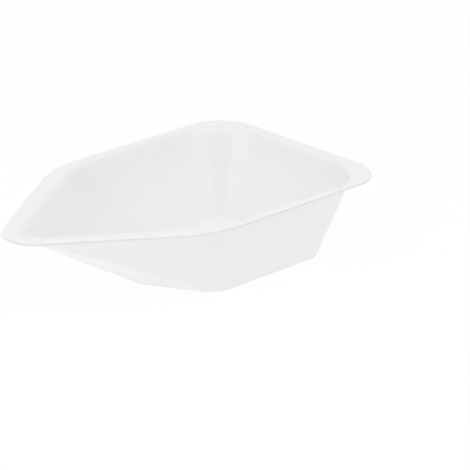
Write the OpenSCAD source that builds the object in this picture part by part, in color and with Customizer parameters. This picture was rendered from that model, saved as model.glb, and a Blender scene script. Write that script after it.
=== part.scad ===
// Weighing boat: a shallow dish formed from one thin sheet, with a flat base, slanting walls and a
// narrow flat rim. Seen from above it is square at one end and runs to a rounded pouring point at the
// other, where the walls fold into a long gentle ramp.
// +X runs along the length to the pouring point, Y across and +Z up. The origin is on the underside of
// the base, at the middle of the overall length and width.

/* [Rim] */
// Overall length, from the square end to the pouring point
rim_len = 56; // [44:1:90]
// Overall width
rim_w = 34; // [28:1:60]
// Height of the rim's top face above the underside of the base
rim_h = 13; // [8:0.5:30]
// Length over which the rim narrows to the pouring point
rim_taper = 22; // [16:1:30]
// Rounding of the rim's two corners at the square end
rim_corner_r = 6; // [3:0.5:9]
// Rounding of the rim where its straight sides turn towards the pouring point
rim_shoulder_r = 16.5; // [4:0.5:18]
// Rounding of the rim at the pouring point
rim_tip_r = 4.6; // [2.5:0.1:5.5]

/* [Top of the walls] */
// From the rim's edge to the outside of the wall, at the rim's height, along the sides
side_flange = 1.2; // [0.8:0.1:3]
// The same at the square end
end_flange = 1.5; // [0.8:0.1:3]
// The same along both sides of the pouring point
tip_flange = 2; // [1.6:0.1:3]
// Rounding of the walls' outside at the square end, at the rim's height
wall_corner_r = 8; // [3:0.5:10]
// The same where the sides turn towards the pouring point
wall_shoulder_r = 16.5; // [4:0.5:18]
// The same at the pouring point
wall_tip_r = 1.5; // [1:0.1:4]

/* [Base] */
// Length of the base's outline, from its square end to its blunt point
base_len = 26.2; // [20:0.1:34]
// Width of the base's outline
base_w = 21.1; // [16:0.1:25]
// Length over which the base's outline narrows to its blunt point
base_taper = 5.7; // [4:0.1:12]
// From the rim's square end in to the base's square end
base_setback = 6.5; // [4:0.1:9]
// Rounding of the base's outline at the square end
base_corner_r = 2.4; // [1.2:0.1:5]
// Rounding of the base's outline where its sides turn
base_shoulder_r = 4; // [1.2:0.1:6]
// Rounding of the base's outline at its blunt point
base_tip_r = 1.4; // [1:0.1:4]

/* [Sheet] */
// Thickness of the sheet in the walls and floor, where forming has drawn it thin
sheet = 0.3; // [0.2:0.05:0.4]
// Thickness of the sheet at the rim, which forming has hardly drawn
rim_sheet = 0.4; // [0.3:0.05:0.6]
// Inside radius of the bend between the floor and the walls
floor_bend_r = 0.8; // [0.1:0.05:0.9]
// Underside radius of the bend between the walls and the rim
rim_bend_r = 1.1; // [0.2:0.1:1.5]

/* [Smoothness] */
// Steps in each quarter turn of an outline's rounding
turn_steps = 16; // [6:1:24]
// Steps across each bend of the sheet
bend_steps = 6; // [3:1:8]

/* [Hidden] */

// An outline has a square end, two straight sides up to its shoulders, and two slanted sides that would
// meet at point_x if its tip weren't rounded. It is a list, read with these five functions.
TIP = 0;
SHOULDER = 1;
CORNER = 2;
function end_x(outline) = outline[0];
function half_w(outline) = outline[1];
function shoulder_x(outline) = outline[2];
function point_x(outline) = outline[3];
function radius(outline, rounding) = outline[4][rounding];

// Direction in which the slanted side faces on the +Y half: 0 is along +X and 90 along +Y.
function slant_dir(outline) = atan2(point_x(outline) - shoulder_x(outline), half_w(outline));

// Run of a taper up to its sharp point, where the point rounded by r comes to the given run.
function sharp_run(run, half_w, r) =
    let (share = r / half_w, rest = run - r)
    (rest + sqrt(pow(share * rest, 2) + r * r * (1 - share * share))) / (1 - share * share);

// Outline of a given length, width and taper. radii are those of the tip, the shoulders and the corners.
function outline(end_x, len, w, taper, radii) =
    let (shoulder_x = end_x + len - taper)
    [end_x, w / 2, shoulder_x, shoulder_x + sharp_run(taper, w / 2, radii[TIP]), radii];

// Outline inside another, with each kind of side moved in by its own distance.
function inset(outer, side, end, slant, radii) =
    let (
        dir = slant_dir(outer),
        half_w = half_w(outer) - side,
        reach = point_x(outer) * cos(dir) - slant)
    [end_x(outer) + end, half_w, (reach - half_w * sin(dir)) / cos(dir), reach / cos(dir), radii];

// Centre of a rounding on the +Y half, and the rounding's point that faces in a direction.
function round_centre(outline, rounding) =
    let (dir = slant_dir(outline), half_turn = (90 - dir) / 2, r = radius(outline, rounding))
    rounding == TIP ? [point_x(outline) - r / cos(dir), 0]
    : rounding == CORNER ? [end_x(outline) + r, half_w(outline) - r]
    : [shoulder_x(outline), half_w(outline)]
        - r / cos(half_turn) * [cos(dir + half_turn), sin(dir + half_turn)];
function round_point(outline, rounding, dir) =
    round_centre(outline, rounding) + radius(outline, rounding) * [cos(dir), sin(dir)];

rim = outline(-rim_len / 2, rim_len, rim_w, rim_taper, [rim_tip_r, rim_shoulder_r, rim_corner_r]);
wall_top = inset(
    rim, side_flange, end_flange, tip_flange, [wall_tip_r, wall_shoulder_r, wall_corner_r]);
base = outline(
    base_setback - rim_len / 2, base_len, base_w, base_taper,
    [base_tip_r, base_shoulder_r, base_corner_r]);

// The walls join each point of the base's outline to the point of wall_top that faces the same way, so
// they are flat where the outlines are straight and conical where they turn. The base's slanted sides
// face further forward than those of wall_top. Between the two directions a wall stands on the base's
// shoulder and reaches to wall_top's tip: below this fold lies the ramp to the pouring point.
ramp_dir = slant_dir(base);
taper_dir = slant_dir(rim);
// The rim's tip is shared between the ramp and the fold, and this share of it lies between them.
between = 0.08;
ramp_share = (1 - between) / 2;

// Each run of stations: the rounding that the base is on, the one that wall_top and the rim are on, and
// the first and last direction of the wall and of the rim.
RUNS = [
    [TIP, TIP, 0, ramp_dir, 0, ramp_share * taper_dir],
    [SHOULDER, TIP, ramp_dir, taper_dir, (1 - ramp_share) * taper_dir, taper_dir],
    [SHOULDER, SHOULDER, taper_dir, 90, taper_dir, 90],
    [CORNER, CORNER, 90, 180, 90, 180],
];

// Stations along the +Y half. A station holds its point of the base's outline, the way from there to
// wall_top, its point of the rim, the direction that the wall faces, and the wall's lean from upright.
function foot(station) = station[0];
function rise(station) = station[1];
function edge(station) = station[2];
function facing(station) = station[3];
function lean(station) = station[4];
function station_at(run, part) =
    let (
        dir = run[2] + (run[3] - run[2]) * part,
        rim_dir = run[4] + (run[5] - run[4]) * part,
        foot = round_point(base, run[0], dir),
        rise = round_point(wall_top, run[1], dir) - foot,
        facing = [cos(dir), sin(dir)])
    [foot, rise, round_point(rim, run[1], rim_dir), facing, atan2(rise * facing, rim_h)];
least_steps = 4;
stations = [
    for (run = RUNS)
        let (steps = max(least_steps, ceil(turn_steps * (run[3] - run[2]) / 90)))
            for (i = [0:steps]) station_at(run, i / steps),
];

// A bend of the sheet turns about one centre, which is inside the dish at the floor (side 1) and
// outside it at the rim (side -1). wall_r is the bend's radius on the wall's outside, r that of the
// wanted face, and turn the way that the face points, from the wall's lean to 90 on the flat.
function bend_point(station, side, centre_z, wall_r, r, turn) =
    let (
        lean = lean(station),
        touch_z = centre_z - side * wall_r * sin(lean),
        touch = foot(station) + rise(station) * touch_z / rim_h,
        point = touch + side * (r * cos(turn) - wall_r * cos(lean)) * facing(station))
    [point[0], point[1], centre_z - side * r * sin(turn)];

// Half rings of the two bends with a face of radius r, from the wall (part 0) to the flat (part 1).
floor_outer_r = floor_bend_r + sheet;
rim_centre_z = rim_h - rim_sheet - rim_bend_r;
function turn_at(station, part) = lean(station) + (90 - lean(station)) * part;
function floor_ring(r, part) =
    [for (s = stations) bend_point(s, 1, floor_outer_r, floor_outer_r, r, turn_at(s, part))];
function rim_ring(r, part) =
    [for (s = stations) bend_point(s, -1, rim_centre_z, rim_bend_r, r, turn_at(s, part))];
function edge_ring(z) = [for (s = stations) [edge(s)[0], edge(s)[1], z]];

// The sheet's thickness across the bend at the rim, from the wall (part 0) to the flat (part 1).
function sheet_at(part) = sheet + (rim_sheet - sheet) * part;

// The section, from the base's underside out to the rim's edge and back over the top to the floor.
bend = [for (i = [0:bend_steps]) i / bend_steps];
half_rings = concat(
    [for (part = bend) floor_ring(floor_outer_r, 1 - part)],
    [for (part = bend) rim_ring(rim_bend_r, part)],
    [edge_ring(rim_h - rim_sheet), edge_ring(rim_h)],
    [for (part = bend) rim_ring(rim_bend_r + sheet_at(1 - part), 1 - part)],
    [for (part = bend) floor_ring(floor_bend_r, part)]);

// Ring completed by the half ring's mirror image. Only its first point lies on the middle line.
function whole(half) =
    concat(half, [for (i = [len(half) - 1:-1:1]) [half[i][0], -half[i][1], half[i][2]]]);

// Closed skin through a list of rings, each with the same number of points.
module skin(rings) {
    n = len(rings[0]);
    last = len(rings) - 1;
    bands = [
        for (k = [0:last - 1], i = [0:n - 1])
            let (a = k * n + i, b = k * n + (i + 1) % n)
                for (face = [[a, a + n, b + n], [a, b + n, b]]) face,
    ];
    underside = [for (i = [0:n - 1]) i];
    floor_face = [for (i = [n - 1:-1:0]) last * n + i];
    polyhedron(
        points = [for (ring = rings, point = ring) point],
        faces = concat(bands, [underside, floor_face]));
}

// The block clears the skin on every side. Their common part is the skin again, with one face for each
// flat stretch of wall.
module dish() {
    clear = 10;
    color("white")
        intersection() {
            skin([for (half = half_rings) whole(half)]);
            translate([0, 0, rim_h / 2])
                cube([rim_len + clear, rim_w + clear, rim_h + clear], center = true);
        }
}

dish();
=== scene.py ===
# %% [markdown]
# # A weighing boat in thermoformed polystyrene
# A weighing boat is the little white dish that goes on a laboratory balance. It starts as a flat roll of
# plastic sheet. The sheet is heated until it sags, drawn over a mould, chilled and trimmed, so the whole
# dish is one skin with no seam, and every form on it is a bend of that skin.
#
# This lesson builds the skin as one surface over a grid of numbers, gives it the two finishes of formed
# polystyrene, matte outside and satin inside, and lights it softly on a light table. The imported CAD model
# comes first. It fixes the size and the place, and everything after it is measured from it.

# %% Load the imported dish
import math

import bpy
import numpy as np
from mathutils import Matrix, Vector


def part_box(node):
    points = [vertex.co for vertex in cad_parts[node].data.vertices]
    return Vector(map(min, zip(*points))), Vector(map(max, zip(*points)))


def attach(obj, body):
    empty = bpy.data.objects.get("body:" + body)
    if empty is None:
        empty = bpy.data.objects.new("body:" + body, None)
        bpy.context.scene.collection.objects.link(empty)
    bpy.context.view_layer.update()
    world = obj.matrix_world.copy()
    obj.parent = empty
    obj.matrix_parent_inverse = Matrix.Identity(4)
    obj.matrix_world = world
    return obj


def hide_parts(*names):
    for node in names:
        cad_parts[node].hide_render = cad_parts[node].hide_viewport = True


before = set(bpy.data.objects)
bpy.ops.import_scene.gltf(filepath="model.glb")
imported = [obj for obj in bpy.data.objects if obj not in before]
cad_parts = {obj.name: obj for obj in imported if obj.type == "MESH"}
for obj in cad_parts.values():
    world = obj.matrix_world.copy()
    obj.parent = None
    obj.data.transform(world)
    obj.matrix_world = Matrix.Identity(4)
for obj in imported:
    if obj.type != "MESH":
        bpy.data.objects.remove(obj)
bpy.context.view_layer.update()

MM = 0.001
low, high = (np.array(corner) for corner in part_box("dish"))
dish_len, dish_w, dish_h = high - low
print(f"CAD dish: {dish_len / MM:.1f} x {dish_w / MM:.1f} x {dish_h / MM:.1f} mm")

# %% [markdown]
# ## Two outlines
# Seen from above, the base and the top of the walls are the same kind of figure: a square end, two
# straight sides, and two slanted sides that run together to a rounded tip. It could be drawn as a curve
# and beveled, but a wall has to know which point of the base it stands on and which point of the top it
# reaches. So each outline is kept as a few numbers, and its roundings are read off by direction.

# %% Outlines of the rim, the walls' top and the base
TIP, SHOULDER, CORNER = range(3)


def outline(end_x, length, width, taper, radii):
    """A square end at end_x, straight sides, and slanted sides over the last stretch, taper.

    The slanted sides would meet at point_x. A circle of the tip's radius that touches both comes to the
    outline's given length, which fixes point_x: it is the root of a quadratic in the taper's length.
    """
    half_w, tip_r = width / 2, radii[TIP]
    share, run = tip_r / half_w, taper - tip_r
    sharp = (run + math.sqrt((share * run) ** 2 + tip_r**2 * (1 - share**2))) / (1 - share**2)
    shoulder_x = end_x + length - taper
    return {
        "end_x": end_x,
        "half_w": half_w,
        "shoulder_x": shoulder_x,
        "point_x": shoulder_x + sharp,
        "radii": radii,
    }


def slant_dir(line):
    """Direction in which the slanted side on the +Y half faces, in radians from +X."""
    return math.atan2(line["point_x"] - line["shoulder_x"], line["half_w"])


def inset(line, side, end, slant, radii):
    """The outline inside another, with each kind of side moved in by its own distance."""
    facing = slant_dir(line)
    half_w = line["half_w"] - side
    reach = line["point_x"] * math.cos(facing) - slant
    return {
        "end_x": line["end_x"] + end,
        "half_w": half_w,
        "shoulder_x": (reach - half_w * math.sin(facing)) / math.cos(facing),
        "point_x": reach / math.cos(facing),
        "radii": radii,
    }


def compass(angles):
    """Unit vectors in the plane for angles in radians, one row each."""
    return np.column_stack([np.cos(angles), np.sin(angles)])


def rounding(line, which, angles):
    """Points of one rounding on the +Y half that face in the given directions.

    A rounding is an arc about a centre that lies its radius inside both of the sides that it joins, so
    the point facing in a direction is the centre plus the radius along that direction.
    """
    r = line["radii"][which]
    facing = slant_dir(line)
    half_turn = (math.pi / 2 - facing) / 2
    if which == TIP:
        centre = np.array([line["point_x"] - r / math.cos(facing), 0])
    elif which == CORNER:
        centre = np.array([line["end_x"] + r, line["half_w"] - r])
    else:
        way_in = compass([facing + half_turn])[0]
        centre = np.array([line["shoulder_x"], line["half_w"]]) - r / math.cos(half_turn) * way_in
    return centre + r * compass(angles)


rim_taper = 22 * MM
side_flange, end_flange, tip_flange = 1.2 * MM, 1.5 * MM, 2 * MM
base_setback, base_len, base_w, base_taper = 6.5 * MM, 26.2 * MM, 21.1 * MM, 5.7 * MM

# The radii of each outline are those of its tip, its shoulders and its corners.
rim = outline(low[0], dish_len, dish_w, rim_taper, [4.6 * MM, 16.5 * MM, 6 * MM])
wall_top = inset(rim, side_flange, end_flange, tip_flange, [1.5 * MM, 16.5 * MM, 8 * MM])
base = outline(
    low[0] + base_setback, base_len, base_w, base_taper, [1.4 * MM, 4 * MM, 2.4 * MM])
print(f"slanted sides face {math.degrees(slant_dir(rim)):.1f} deg at the rim, "
      f"{math.degrees(slant_dir(base)):.1f} deg at the base")

# %% [markdown]
# ## Stations round the wall
# A station is one upright cut through the sheet. Hot sheet stretched between two outlines lies flat where
# both are straight and curls into part of a cone where they turn, so each point of the base is joined to
# the point of the top that faces the same way. The base's slanted sides face further forward than the
# rim's. Between those two directions the wall turns on the base's shoulder while it still reaches for the
# tip above: that is the fold, and the long ramp below it is where powder slides out.
#
# The stations are found on the +Y half, from the middle of the tip to the middle of the square end. Long
# straight stretches get more of them in between, so that the sheet can later be given its slight waves.

# %% Stations on one half, then all the way round
station_gap = 0.45 * MM
turn_step = math.radians(3)
ramp_dir, taper_dir = slant_dir(base), slant_dir(rim)
# The rim's tip is shared between the ramp and the fold, and this share of it lies between them.
between = 0.08
ramp_share = (1 - between) / 2

# Each run: the rounding that the base is on, the one that the top and the rim are on, and the first and
# last direction of the wall and of the rim's edge.
RUNS = [
    (TIP, TIP, 0, ramp_dir, 0, ramp_share * taper_dir),
    (SHOULDER, TIP, ramp_dir, taper_dir, (1 - ramp_share) * taper_dir, taper_dir),
    (SHOULDER, SHOULDER, taper_dir, math.pi / 2, taper_dir, math.pi / 2),
    (CORNER, CORNER, math.pi / 2, math.pi, math.pi / 2, math.pi),
]
FOOT, TOP, EDGE, FACING, EDGE_FACING = slice(0, 2), slice(2, 4), slice(4, 6), 6, 7


def run_of_stations(run):
    """Stations along one run: foot, top and rim edge in plan, and the ways the wall and the edge face."""
    base_round, top_round, first, last, edge_first, edge_last = run
    parts = np.linspace(0, 1, 1 + math.ceil((last - first) / turn_step))
    facing = first + (last - first) * parts
    edge_facing = edge_first + (edge_last - edge_first) * parts
    return np.column_stack([
        rounding(base, base_round, facing),
        rounding(wall_top, top_round, facing),
        rounding(rim, top_round, edge_facing),
        facing,
        edge_facing,
    ])


def filled(rows):
    """The same stations with more put in wherever two are further apart than station_gap.

    Foot, top and edge are each moved in even steps along the straight line between the two stations.
    """
    steps = np.abs(np.diff(rows[:, :6], axis=0)).reshape(-1, 3, 2)
    apart = np.hypot(steps[..., 0], steps[..., 1]).max(axis=1)
    counts = np.maximum(1, np.ceil(apart / station_gap)).astype(int)
    starts = np.repeat(np.arange(len(counts)), counts)
    within = np.arange(counts.sum()) - np.repeat(np.cumsum(counts) - counts, counts)
    places = np.append(starts + within / counts[starts], len(counts))
    known = np.arange(len(rows))
    return np.column_stack([np.interp(places, known, column) for column in rows.T])


half = np.concatenate([run_of_stations(run) for run in RUNS])
# The half ends in the middle of the square end, where foot, top and edge all have Y = 0.
end_middle = half[-1].copy()
end_middle[[1, 3, 5]] = 0
half = filled(np.vstack([half, end_middle]))
# In the other half every Y and every angle changes its sign.
mirrored = half[-2:0:-1] * np.array([1, -1, 1, -1, 1, -1, -1, -1])
stations = np.vstack([half, mirrored])

foot, top, edge = stations[:, FOOT], stations[:, TOP], stations[:, EDGE]
facing, edge_facing = compass(stations[:, FACING]), compass(stations[:, EDGE_FACING])
rise = top - foot
lean = np.arctan2((rise * facing).sum(axis=1), dish_h)
least, most = np.degrees([lean.min(), lean.max()])
print(f"{len(stations)} stations, walls lean {least:.0f} to {most:.0f} deg")

# %% [markdown]
# ## The section of the sheet
# The same section is carried round all stations: under the base, round the bend, up the outside, over
# the rim, down the inside and across the floor. It could be a flat sheet with Solidify, but a formed
# sheet isn't even. Forming hardly draws the rim, which keeps nearly its full thickness, and it draws the
# walls thinner. The die that trims the rim leaves an eased upper edge and a sharper lower one. So both
# faces are worked out, and the sheet's thickness is the true distance between them.

# %% Rings of the section
sheet = 0.3 * MM
rim_sheet = 0.4 * MM
floor_bend_r = 0.8 * MM
rim_bend_r = 1.1 * MM
bend_steps = 12
trim_steps = 4
trim_top_r = 0.2 * MM
trim_low_r = 0.05 * MM
# How many rings are spread over each flat stretch, between its bends.
base_rings, wall_rings, rim_rings = 24, 26, 5


def ring_set(plan, z):
    """Rings of points from their places in plan and their heights, which may be one number a ring."""
    return np.concatenate([plan, np.broadcast_to(z, plan.shape[:2])[..., None]], axis=2)


def bend(side, centre_z, wall_r, face_r, parts):
    """Rings round a bend of the sheet, from the wall (part 0) to the flat (part 1).

    The bend turns about one centre at each station, inside the dish at the floor (side 1) and outside it
    at the rim (side -1). wall_r is its radius on the wall's outside, which touches the wall at a height
    below or above the centre. A face with its own radius, face_r, lies that far from the same centre, in
    a direction that turns from the wall's lean to straight up or down.
    """
    turn = lean + (math.pi / 2 - lean) * parts[:, None]
    face_r = np.broadcast_to(face_r, parts.shape)[:, None]
    touch_z = centre_z - side * wall_r * np.sin(lean)
    touch = foot + rise * (touch_z / dish_h)[:, None]
    out = side * (face_r * np.cos(turn) - wall_r * np.cos(lean))
    return ring_set(touch + out[..., None] * facing, centre_z - side * face_r * np.sin(turn))


def spread(first, last, count):
    """count rings in even steps between two rings, or between a point and a ring, without those two."""
    parts = np.arange(1, count + 1)[:, None, None] / (count + 1)
    return first + (last - first) * parts


def trim(r, z_centre, first, last):
    """Rings round one eased corner of the trimmed edge: a quarter circle of radius r at each station."""
    turn = np.linspace(first, last, trim_steps + 1)[:, None]
    plan = edge[None] + (r * (np.cos(turn) - 1))[..., None] * edge_facing
    return ring_set(plan, z_centre + r * np.sin(turn))


parts = np.linspace(0, 1, bend_steps + 1)
floor_r = floor_bend_r + sheet
rim_centre_z = dish_h - rim_sheet - rim_bend_r
thickness = sheet + (rim_sheet - sheet) * parts

floor_under = bend(1, floor_r, floor_r, floor_r, parts[::-1])
rim_under = bend(-1, rim_centre_z, rim_bend_r, rim_bend_r, parts)
rim_over = bend(-1, rim_centre_z, rim_bend_r, rim_bend_r + thickness[::-1], parts[::-1])
floor_over = bend(1, floor_r, floor_r, floor_bend_r, parts)
trim_low = trim(trim_low_r, dish_h - rim_sheet + trim_low_r, -math.pi / 2, 0)
trim_top = trim(trim_top_r, dish_h - trim_top_r, 0, math.pi / 2)

base_middle = np.array([(base["end_x"] + base["shoulder_x"]) / 2, 0, 0])
floor_middle = base_middle + [0, 0, sheet]
outside = np.concatenate([
    spread(base_middle, floor_under[0], base_rings),
    floor_under,
    spread(floor_under[-1], rim_under[0], wall_rings),
    rim_under,
    spread(rim_under[-1], trim_low[0], rim_rings),
])
inside = np.concatenate([
    spread(trim_top[-1], rim_over[0], rim_rings),
    rim_over,
    spread(rim_over[-1], floor_over[0], wall_rings),
    floor_over,
    spread(floor_over[-1], floor_middle, base_rings),
])
rings = np.concatenate([outside, trim_low, trim_top, inside])
print(f"{len(rings)} rings of {len(stations)} points")

# %% [markdown]
# ## Where the die has cut
# The trimmed edge isn't a formed face. The die shears it, so it is matte, and the finish also gives it a
# grey colour: partly the sheet seen end on, partly painted shade that stands for the shadow under the rim's
# edge and draws the rim's fine dark line. Each point is told how much of a cut it is, from 0 on the skin to
# 1 on the upright edge, and the finish will read that number. It fades over the eased upper edge.

# %% Share of cut at every point
# A point counts as cut no further in from the edge than this, a hair more than the easing reaches.
cut_reach = 1.01 * trim_top_r
to_edge = np.hypot(*np.moveaxis(rings[..., :2] - edge, 2, 0))
cut = np.clip((dish_h - rings[..., 2]) / trim_top_r, 0, 1) * (to_edge < cut_reach)
print(f"{int((cut > 0.5).sum())} points lie on the cut")

# %% [markdown]
# ## What forming leaves
# A chilled sheet keeps some stress, so its long walls aren't dead flat: they bow by a few hundredths of a
# millimetre, and the rim's edge dips by as much between its corners. No one sees that as a shape, but it
# is what keeps the gloss on a wall from looking ruled. A few long sine waves are enough. They are added
# to both faces alike, along the way the wall faces, and fade out at the base and at the rim.

# %% Slight waves in the walls and the rim
wall_bow = 0.035 * MM
rim_dip = 0.05 * MM
dip_reach = 2 * MM


def waves(x, y, lengths, shifts):
    """Sum of sine waves in plan, each with its own lengths along X and Y, scaled to lie within 1."""
    total = [np.sin(math.tau * (x / lx + y / ly) + s) for (lx, ly), s in zip(lengths, shifts)]
    return sum(total) / len(total)


x, y, z = np.moveaxis(rings, 2, 0)
level = np.clip(z / (dish_h - rim_sheet), 0, 1)
bow = waves(x, y, [(31 * MM, 47 * MM), (-17 * MM, 23 * MM), (53 * MM, -19 * MM)], [0.4, 2.1, 4.0])
fade = (4 * level * (1 - level)) ** 2
rings[..., :2] += (wall_bow * bow * fade)[..., None] * facing

out_on_rim = np.clip(((rings[..., :2] - top) * facing).sum(axis=2) / dip_reach, 0, 1)
dip = 0.5 + 0.5 * waves(x, y, [(37 * MM, 29 * MM), (-21 * MM, 43 * MM)], [1.2, 3.3])
rings[..., 2] -= rim_dip * dip * out_on_rim**2
print(f"walls bow up to {wall_bow / MM:.3f} mm, the rim dips up to {rim_dip / MM:.3f} mm")

# %% [markdown]
# ## From rings to a mesh
# Neighbouring rings are joined by four-sided faces. The last station joins the first, so the loop is
# closed, and one point in the middle of the base and one in the middle of the floor close the two ends.
# Every face is listed anticlockwise as seen from outside, so the faces point outwards.


# %% The dish as one closed mesh
def closed_skin(name, rings, first_pole, last_pole):
    """Mesh through a stack of closed rings with a point at each end.

    Point i of ring k is number k * n + i. A face goes from it to the next point, up to the next ring and
    back. The poles come last, and each is joined to every edge of its ring.
    """
    count, n = rings.shape[:2]
    k, i = np.meshgrid(np.arange(count - 1), np.arange(n), indexing="ij")
    a, b = k * n + i, k * n + (i + 1) % n
    quads = np.stack([a, b, b + n, a + n], axis=-1).reshape(-1, 4)
    start = np.arange(n)
    after = (start + 1) % n
    under = np.column_stack([np.full(n, count * n), after, start])
    last = (count - 1) * n
    over = np.column_stack([np.full(n, count * n + 1), last + start, last + after])
    points = np.concatenate([rings.reshape(-1, 3), [first_pole, last_pole]])
    mesh = bpy.data.meshes.new(name)
    mesh.from_pydata(points.tolist(), [], quads.tolist() + under.tolist() + over.tolist())
    mesh.shade_smooth()
    mesh.update()
    piece = bpy.data.objects.new(name, mesh)
    bpy.context.scene.collection.objects.link(piece)
    return piece


dish = closed_skin("weighing_dish", rings, base_middle, floor_middle)
print(f"{dish.name}: {len(dish.data.vertices)} points, {len(dish.data.polygons)} faces")

# %% [markdown]
# ## Which face each point is on
# The finish will have to tell the two faces of the sheet apart, because only the outside lay against the
# mould. So every point gets a second number beside its share of cut: 1 on the mould's side and 0 on the
# free side. The rings are in order, so the first of them, up to the trim, are the mould's.

# %% Two numbers at every point
on_mould = np.repeat(np.arange(len(rings)) < len(outside), len(stations))
for name, values, at_poles in (("cut_edge", cut.ravel(), [0, 0]), ("mould_face", on_mould, [1, 0])):
    share = dish.data.attributes.new(name, "FLOAT", "POINT")
    share.data.foreach_set("value", np.append(values, at_poles).astype(np.float32))
print(f"{int(on_mould.sum())} points met the mould")

# %% [markdown]
# ## Thermoformed polystyrene
# The sheet is white high-impact polystyrene, with an index of refraction of 1.59. It has two faces. The
# outside was drawn against the mould and took on its fine blasted grain, so it is matte, and it doesn't
# flash even where it is seen almost edge on. The inside and the top of the rim never touched the mould.
# They keep some of the roll's shine, which the eye reads as soft streaks in the corners. A little light
# goes under both, for about as far as the sheet is thick.
#
# Each pattern is scaled from a real size. The grain of the mould, about 0.05 mm, is too fine to show, so
# it is drawn at 0.25 mm. The cloudiness of the drawn sheet is several millimetres across, and its ripple
# between one and two.


# %% Colour and node helpers
def srgb(code, alpha=1.0):
    """Linear colour from an sRGB hex string: each channel is undone by the sRGB curve."""
    channels = np.array([int(code[i:i + 2], 16) for i in (1, 3, 5)]) / 255
    linear = np.where(channels <= 0.04045, channels / 12.92, ((channels + 0.055) / 1.055) ** 2.4)
    return (*linear.tolist(), alpha)


def add_node(tree, kind, settings=None, **inputs):
    """Adds a node, sets its properties, and gives each named input a value or a link from a socket."""
    node = tree.nodes.new(kind)
    for key, value in (settings or {}).items():
        setattr(node, key, value)
    for key, value in inputs.items():
        socket = node.inputs[int(key[1:])] if key[0] == "i" and key[1:].isdigit() else node.inputs[key]
        if isinstance(value, bpy.types.NodeSocket):
            tree.links.new(value, socket)
        else:
            socket.default_value = value
    return node


# %% The sheet's finish
cloud_size = 7 * MM
ripple_size = 1.6 * MM
grain_size = 0.25 * MM
mould_roughness = (0.46, 0.50)
free_roughness = (0.28, 0.32)
cut_roughness = 0.65


def polystyrene():
    """White high-impact polystyrene, matte on the mould's side and satin on the free side."""
    material = bpy.data.materials.new("thermoformed_polystyrene")
    material.use_nodes = True
    tree = material.node_tree
    tree.nodes.clear()
    place = add_node(tree, "ShaderNodeTexCoord").outputs["Object"]
    mould = add_node(tree, "ShaderNodeAttribute", {"attribute_name": "mould_face"}).outputs["Fac"]
    cut = add_node(tree, "ShaderNodeAttribute", {"attribute_name": "cut_edge"}).outputs["Fac"]
    clouds, ripple, grain = (
        add_node(
            tree, "ShaderNodeTexNoise", Vector=place, Scale=1 / size, Detail=detail).outputs["Fac"]
        for size, detail in ((cloud_size, 2.0), (ripple_size, 1.0), (grain_size, 2.0)))
    satin, matte = (
        add_node(tree, "ShaderNodeMapRange", **{
            "Value": ripple, "From Min": 0.3, "From Max": 0.7, "To Min": least, "To Max": most,
        }).outputs["Result"]
        for least, most in (free_roughness, mould_roughness))
    white = add_node(
        tree, "ShaderNodeMix", {"data_type": "RGBA"},
        i0=clouds, i6=srgb("#F7F7F7"), i7=srgb("#F9F9F9"))
    # The cut is mixed to a grey, #E6E6E6: partly the sheet seen end on, partly painted shade for the shadow
    # under the rim's edge.
    colour = add_node(
        tree, "ShaderNodeMix", {"data_type": "RGBA"},
        i0=cut, i6=white.outputs[2], i7=srgb("#E6E6E6"))
    formed = add_node(
        tree, "ShaderNodeMix", {"data_type": "FLOAT"}, i0=mould, i2=satin, i3=matte)
    roughness = add_node(
        tree, "ShaderNodeMix", {"data_type": "FLOAT"}, i0=cut, i2=formed.outputs[0], i3=cut_roughness)
    rippled = add_node(tree, "ShaderNodeBump", Height=ripple, Strength=0.15, Distance=0.01 * MM)
    grained = add_node(
        tree, "ShaderNodeBump", Height=grain, Strength=0.3, Distance=0.004 * MM,
        Normal=rippled.outputs["Normal"])
    shader = add_node(tree, "ShaderNodeBsdfPrincipled", {"subsurface_method": "RANDOM_WALK"}, **{
        "Base Color": colour.outputs[2],
        "Roughness": roughness.outputs[0],
        "Normal": grained.outputs["Normal"],
        "IOR": 1.59,
        "Subsurface Weight": 1.0,
        "Subsurface Radius": (1.0, 1.0, 1.0),
        "Subsurface Scale": 0.25 * MM,
    })
    add_node(tree, "ShaderNodeOutputMaterial", Surface=shader.outputs["BSDF"])
    return material


dish.data.materials.append(polystyrene())
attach(dish, "root")
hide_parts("dish")

# %% [markdown]
# ## Camera
# The camera is a long lens a little over a third of a metre away, so the dish is drawn almost without
# perspective. It looks down at about 22 degrees on the shoulder between a side and the pouring end. The
# backdrop, the lamps and the screen are placed from the same viewing direction.

# %% A long lens
view_azimuth = 135.268
view_elevation = 21.822
view_roll = 0.844
view_distance = 375.2 * MM
aim = np.array([-6.6 * MM, 7.63 * MM, 6.5 * MM])
lens_mm, sensor_mm = 205.05, 36


def look(azimuth, elevation):
    """Unit vectors to the right, up and back from the view, for angles in degrees.

    Azimuth 0 looks along +Y and elevation is above the horizon. Up is what is left square to the others.
    """
    a, e = math.radians(azimuth), math.radians(elevation)
    back = np.array([math.sin(a) * math.cos(e), -math.cos(a) * math.cos(e), math.sin(e)])
    right = np.array([math.cos(a), math.sin(a), 0])
    return right, np.cross(back, right), back


def turned(right, up, degrees):
    """The two vectors turned about the line of sight: each is mixed from both by cosine and sine."""
    angle = math.radians(degrees)
    return right * math.cos(angle) + up * math.sin(angle), up * math.cos(angle) - right * math.sin(angle)


def matrix_from(right, up, back, place):
    """Object matrix whose local X, Y and Z axes are right, up and back."""
    matrix = np.eye(4)
    matrix[:3, :4] = np.column_stack([right, up, back, place])
    return Matrix(matrix)


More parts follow.
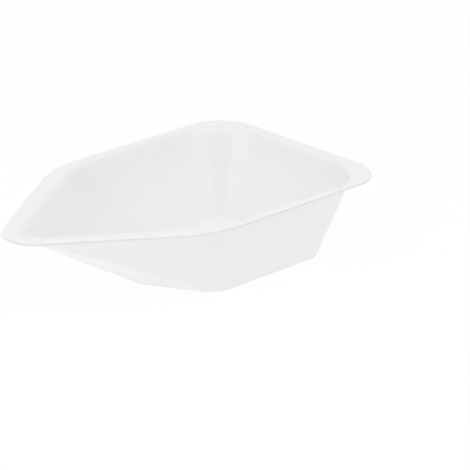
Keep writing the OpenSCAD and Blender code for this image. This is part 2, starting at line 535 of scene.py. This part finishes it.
right, up, back = look(view_azimuth, view_elevation)
camera = bpy.data.objects.new("camera", bpy.data.cameras.new("camera"))
bpy.context.scene.collection.objects.link(camera)
camera.matrix_world = matrix_from(*turned(right, up, view_roll), back, aim + back * view_distance)
camera.data.sensor_width = sensor_mm
camera.data.lens = lens_mm
camera.data.clip_start = 0.01
camera.data.clip_end = 10
bpy.context.scene.camera = camera
wide = math.degrees(2 * math.atan(sensor_mm / 2 / lens_mm))
print(f"camera {view_distance / MM:.0f} mm away, {wide:.1f} deg wide")

# %% [markdown]
# ## The light table
# The dish stands on a light table: a wide sheet of opal acrylic with lamps under it, which runs on out of
# sight. Its glow comes up under the leaning walls, which would be the darkest faces on a plain table. To
# the camera, and in reflections, most of the table is a plain white of strength 1, so the ground is clean
# white. The rest is the sheet itself, which keeps the dish's shadow.

# %% Opal table
table_drop = 0.02 * MM
table_reach = 3.0
white_share = 0.85
table_glow = 0.52


def seen_directly(tree):
    """1 for rays from the camera and for reflected and transmitted ones, 0 for light on its way."""
    rays = add_node(tree, "ShaderNodeLightPath").outputs
    seen = rays["Is Camera Ray"]
    for kind in ("Is Glossy Ray", "Is Transmission Ray"):
        seen = add_node(
            tree, "ShaderNodeMath", {"operation": "MAXIMUM"}, i0=seen, i1=rays[kind]).outputs[0]
    return seen


def opal_acrylic():
    """Opal sheet lit from below, which the camera sees mostly as a plain white ground."""
    material = bpy.data.materials.new("opal_acrylic")
    material.use_nodes = True
    tree = material.node_tree
    tree.nodes.clear()
    opal = add_node(tree, "ShaderNodeBsdfDiffuse", Color=srgb("#BCBCBC"))
    lit = add_node(tree, "ShaderNodeEmission", Color=srgb("#FFFFFF"), Strength=table_glow)
    table = add_node(tree, "ShaderNodeAddShader", i0=opal.outputs[0], i1=lit.outputs[0])
    ground = add_node(tree, "ShaderNodeEmission", Color=srgb("#FFFFFF"), Strength=1.0)
    share = add_node(
        tree, "ShaderNodeMath", {"operation": "MULTIPLY"}, i0=seen_directly(tree), i1=white_share)
    both = add_node(
        tree, "ShaderNodeMixShader", i0=share.outputs[0], i1=table.outputs[0], i2=ground.outputs[0])
    add_node(tree, "ShaderNodeOutputMaterial", Surface=both.outputs[0])
    return material


corners = np.array([[-1, -1], [1, -1], [1, 1], [-1, 1]])
table_mesh = bpy.data.meshes.new("table")
table_points = [(a, b, low[2] - table_drop) for a, b in (corners * table_reach).tolist()]
table_mesh.from_pydata(table_points, [], [(0, 1, 2, 3)])
table = bpy.data.objects.new("table", table_mesh)
bpy.context.scene.collection.objects.link(table)
table_mesh.materials.append(opal_acrylic())

# %% [markdown]
# ## The room and its backdrop
# White plastic on white needs light that is nearly the same from everywhere, or its walls turn grey. The
# world gives it, at one even level. What the camera sees is white, and what the satin faces mirror is
# white only behind the dish, where the backdrop hangs: they see it in the rim and in the floor. The rest
# of the room is dimmer in reflections, as it is round a real set. That gives the bends and the corners
# their tone. The backdrop ends softly, between two angles from its middle.

# %% World
sky_level = 0.67
room_level = 0.25
backdrop_elevation = 20
backdrop_full, backdrop_end = 37, 60


def studio_world():
    """Even light for every surface, white for the camera, and a backdrop in a dimmer room for gloss."""
    world = bpy.data.worlds.new("studio")
    world.use_nodes = True
    tree = world.node_tree
    tree.nodes.clear()
    even, white, room = (
        add_node(tree, "ShaderNodeBackground", Color=srgb("#FFFFFF"), Strength=level)
        for level in (sky_level, 1.0, room_level))
    direction = add_node(tree, "ShaderNodeTexCoord").outputs["Generated"]
    backdrop_way = tuple(look(view_azimuth + 180, backdrop_elevation)[2])
    nearness = add_node(
        tree, "ShaderNodeVectorMath", {"operation": "DOT_PRODUCT"}, i0=direction, i1=backdrop_way)
    beyond = add_node(tree, "ShaderNodeMapRange", {"interpolation_type": "SMOOTHSTEP"}, **{
        "Value": nearness.outputs["Value"],
        "From Min": math.cos(math.radians(backdrop_end)),
        "From Max": math.cos(math.radians(backdrop_full)),
        "To Min": 1.0,
        "To Max": 0.0,
    })
    mirrored = add_node(tree, "ShaderNodeLightPath").outputs["Is Glossy Ray"]
    dimmed = add_node(
        tree, "ShaderNodeMath", {"operation": "MULTIPLY"}, i0=beyond.outputs["Result"], i1=mirrored)
    shown = add_node(
        tree, "ShaderNodeMixShader", i0=dimmed.outputs[0], i1=white.outputs[0], i2=room.outputs[0])
    sky = add_node(
        tree, "ShaderNodeMixShader", i0=seen_directly(tree), i1=even.outputs[0], i2=shown.outputs[0])
    add_node(tree, "ShaderNodeOutputWorld", Surface=sky.outputs[0])
    return world


bpy.context.scene.world = studio_world()

# %% [markdown]
# ## Lamps
# Five soft boxes shape the dish. Two long narrow ones hang high at the sides and run from front to back.
# They light the inside of the far walls, and draw the glints where the far corner meets the rim. Two wide
# panels stand low at the sides and are seen only in the gloss: the round far corner mirrors each as an
# upright streak. The last box stands low in front, a little to the left, and lights the walls that face
# it. It is kept out of the gloss, where it would draw a third streak.


# %% Soft boxes
lamp_distance = 500 * MM


def softbox(name, side, elevation, width, height, glow, turn=0):
    """Rectangular lamp that faces the dish from side degrees to the right of the camera.

    glow is its brightness, where a white card in even light is 1, and its power is that times pi times
    its area. width and height are in metres. turn leans its upright axis over to the left.
    """
    right, up, back = look(view_azimuth + side, elevation)
    lamp = bpy.data.lights.new(name, "AREA")
    lamp.shape = "RECTANGLE"
    lamp.size, lamp.size_y = width, height
    lamp.energy = glow * math.pi * width * height
    box = bpy.data.objects.new(name, lamp)
    bpy.context.scene.collection.objects.link(box)
    middle = np.array([0, 0, dish_h / 2])
    box.matrix_world = matrix_from(*turned(right, up, turn), back, middle + back * lamp_distance)
    box.visible_camera = False
    return box


softbox("strip_left", side=-46, elevation=54, width=0.12, height=0.30, glow=2.6, turn=38)
softbox("strip_right", side=46, elevation=54, width=0.12, height=0.30, glow=4.0, turn=-38)
for name, side in (("panel_left", -56), ("panel_right", 56)):
    panel = softbox(name, side, elevation=18, width=0.42, height=0.26, glow=0.9)
    panel.visible_diffuse = False
front = softbox("front_left", side=-27, elevation=18, width=0.20, height=0.30, glow=1.5)
front.visible_glossy = False
lamps = [thing for thing in bpy.data.objects if thing.type == "LIGHT"]
print(f"{len(lamps)} soft boxes, {sum(box.data.energy for box in lamps):.2f} W in all")

# %% [markdown]
# ## A dark screen behind the camera
# With white all round, the satin skin has nothing dark to mirror, and its corners look chalky. A black
# screen behind the camera gives them something. It draws the dark band between the two streaks in the far
# corner, and it keeps light off the cut edge, which together with the painted grey shade on the cut makes
# the rim end in a fine dark line.

# %% The screen
screen_size = (330 * MM, 300 * MM)
screen_distance = 460 * MM
screen_elevation = 18


def black_felt():
    """Black felt, whose fibres swallow almost all the light."""
    material = bpy.data.materials.new("black_felt")
    material.use_nodes = True
    tree = material.node_tree
    tree.nodes.clear()
    felt = add_node(tree, "ShaderNodeBsdfDiffuse", Color=srgb("#101010"), Roughness=1.0)
    add_node(tree, "ShaderNodeOutputMaterial", Surface=felt.outputs[0])
    return material


right, up, back = look(view_azimuth, screen_elevation)
halves = np.array([right * screen_size[0], up * screen_size[1]]) / 2
screen_mesh = bpy.data.meshes.new("dark_screen")
screen_mesh.from_pydata((back * screen_distance + corners @ halves).tolist(), [], [(0, 1, 2, 3)])
screen = bpy.data.objects.new("dark_screen", screen_mesh)
bpy.context.scene.collection.objects.link(screen)
screen_mesh.materials.append(black_felt())
screen.visible_camera = False

# %% [markdown]
# ## The end
# The picture is shown through the Standard view transform.

# %% Set the view transform
bpy.context.scene.view_settings.view_transform = "Standard"
